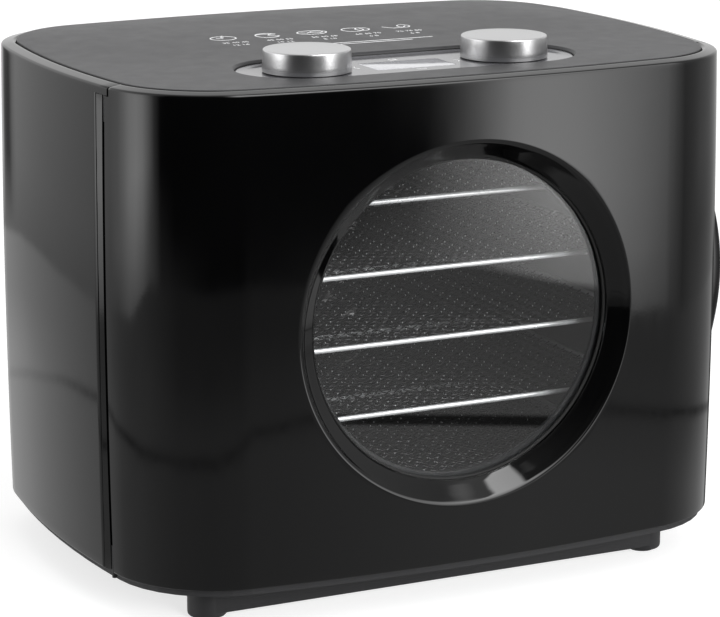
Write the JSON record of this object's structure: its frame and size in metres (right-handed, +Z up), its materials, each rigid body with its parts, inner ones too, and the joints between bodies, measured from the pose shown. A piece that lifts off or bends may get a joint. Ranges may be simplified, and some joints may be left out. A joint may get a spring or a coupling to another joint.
{
  "type": "food dehydrator",
  "caption": "Countertop food dehydrator: glossy rounded cabinet, hinged front door with a round window, sliding wire trays, rear fan and heater, two dials on top.",
  "frame": {"origin": "on the surface that it stands on, under the middle of its box, door pull included", "axes": "+X to the right of someone facing the door, along the width, +Y towards the back, +Z up"},
  "size_m": [0.3656, 0.2778, 0.2891],
  "materials": {
    "shell_black": "high gloss",
    "satin_grey": "satin",
    "matt_black": "matt",
    "control_grey": "gloss",
    "rubber_black": "matt",
    "clear_glass": "polished",
    "spun_aluminium": "spun",
    "chrome_wire": "bright",
    "plain_steel": "plain",
    "board_green": "solder mask",
    "display_grey": "gloss"
  },
  "bodies": {
    "cabinet": {"cabinet_shell": "shell_black", "top_panel": "satin_grey", "cabinet_frame": "matt_black", "chamber_liner": "matt_black", "tray_runner_left": "matt_black", "tray_runner_right": "matt_black", "fan_shroud": "matt_black", "rear_vent": "matt_black", "power_inlet": "matt_black", "base_plate": "matt_black", "front_foot_rail": "matt_black", "rear_foot_rail": "matt_black", "control_housing": "matt_black", "display_module": "matt_black", "control_inlay": "control_grey", "foot_pad_front_left": "rubber_black", "foot_pad_front_right": "rubber_black", "foot_pad_rear_left": "rubber_black", "foot_pad_rear_right": "rubber_black", "catch_plate": "plain_steel", "fan_grille": "plain_steel", "fan_motor": "plain_steel", "heating_element": "plain_steel", "heater_clip_left": "plain_steel", "heater_clip_right": "plain_steel", "encoder_body_left": "plain_steel", "encoder_body_right": "plain_steel", "hinge_pin_lower": "plain_steel", "hinge_pin_upper": "plain_steel", "control_board": "board_green", "display_lens": "display_grey"},
    "door": {"door_shell": "shell_black", "door_magnet": "plain_steel", "window_gasket": "rubber_black", "window_glass": "clear_glass", "door_liner": "matt_black", "door_pull": "shell_black"},
    "left_knob": {"knob_left": "spun_aluminium", "encoder_shaft_left": "plain_steel"},
    "right_knob": {"knob_right": "spun_aluminium", "encoder_shaft_right": "plain_steel"},
    "tray_1": {"tray_frame_1": "chrome_wire", "tray_mesh_1": "chrome_wire"},
    "tray_2": {"tray_frame_2": "chrome_wire", "tray_mesh_2": "chrome_wire"},
    "tray_3": {"tray_frame_3": "chrome_wire", "tray_mesh_3": "chrome_wire"},
    "tray_4": {"tray_frame_4": "chrome_wire", "tray_mesh_4": "chrome_wire"},
    "tray_5": {"tray_frame_5": "chrome_wire", "tray_mesh_5": "chrome_wire"},
    "fan": {"fan_impeller": "matt_black"}
  },
  "joints": [
    {"name": "door_hinge", "type": "hinge", "parent": "cabinet", "child": "door", "pos_m": [-0.17414, -0.07235, 0.151], "axis": [0, 0, -1], "range_deg": [0, 95]},
    {"name": "left_knob_turn", "type": "hinge", "parent": "cabinet", "child": "left_knob", "pos_m": [-0.06356, -0.07185, 0.2833], "axis": [0, 0, 1], "continuous": true},
    {"name": "right_knob_turn", "type": "hinge", "parent": "cabinet", "child": "right_knob", "pos_m": [0.05124, -0.07185, 0.2833], "axis": [0, 0, 1], "continuous": true},
    {"name": "fan_spin", "type": "hinge", "parent": "cabinet", "child": "fan", "pos_m": [-0.00136, 0.10065, 0.136], "axis": [0, 1, 0], "continuous": true},
    {"name": "tray_1_slide", "type": "slide", "parent": "cabinet", "child": "tray_1", "axis": [0, -1, 0], "range_m": [0, 0.015]},
    {"name": "tray_2_slide", "type": "slide", "parent": "cabinet", "child": "tray_2", "axis": [0, -1, 0], "range_m": [0, 0.015]},
    {"name": "tray_3_slide", "type": "slide", "parent": "cabinet", "child": "tray_3", "axis": [0, -1, 0], "range_m": [0, 0.015]},
    {"name": "tray_4_slide", "type": "slide", "parent": "cabinet", "child": "tray_4", "axis": [0, -1, 0], "range_m": [0, 0.015]},
    {"name": "tray_5_slide", "type": "slide", "parent": "cabinet", "child": "tray_5", "axis": [0, -1, 0], "range_m": [0, 0.015]}
  ]
}
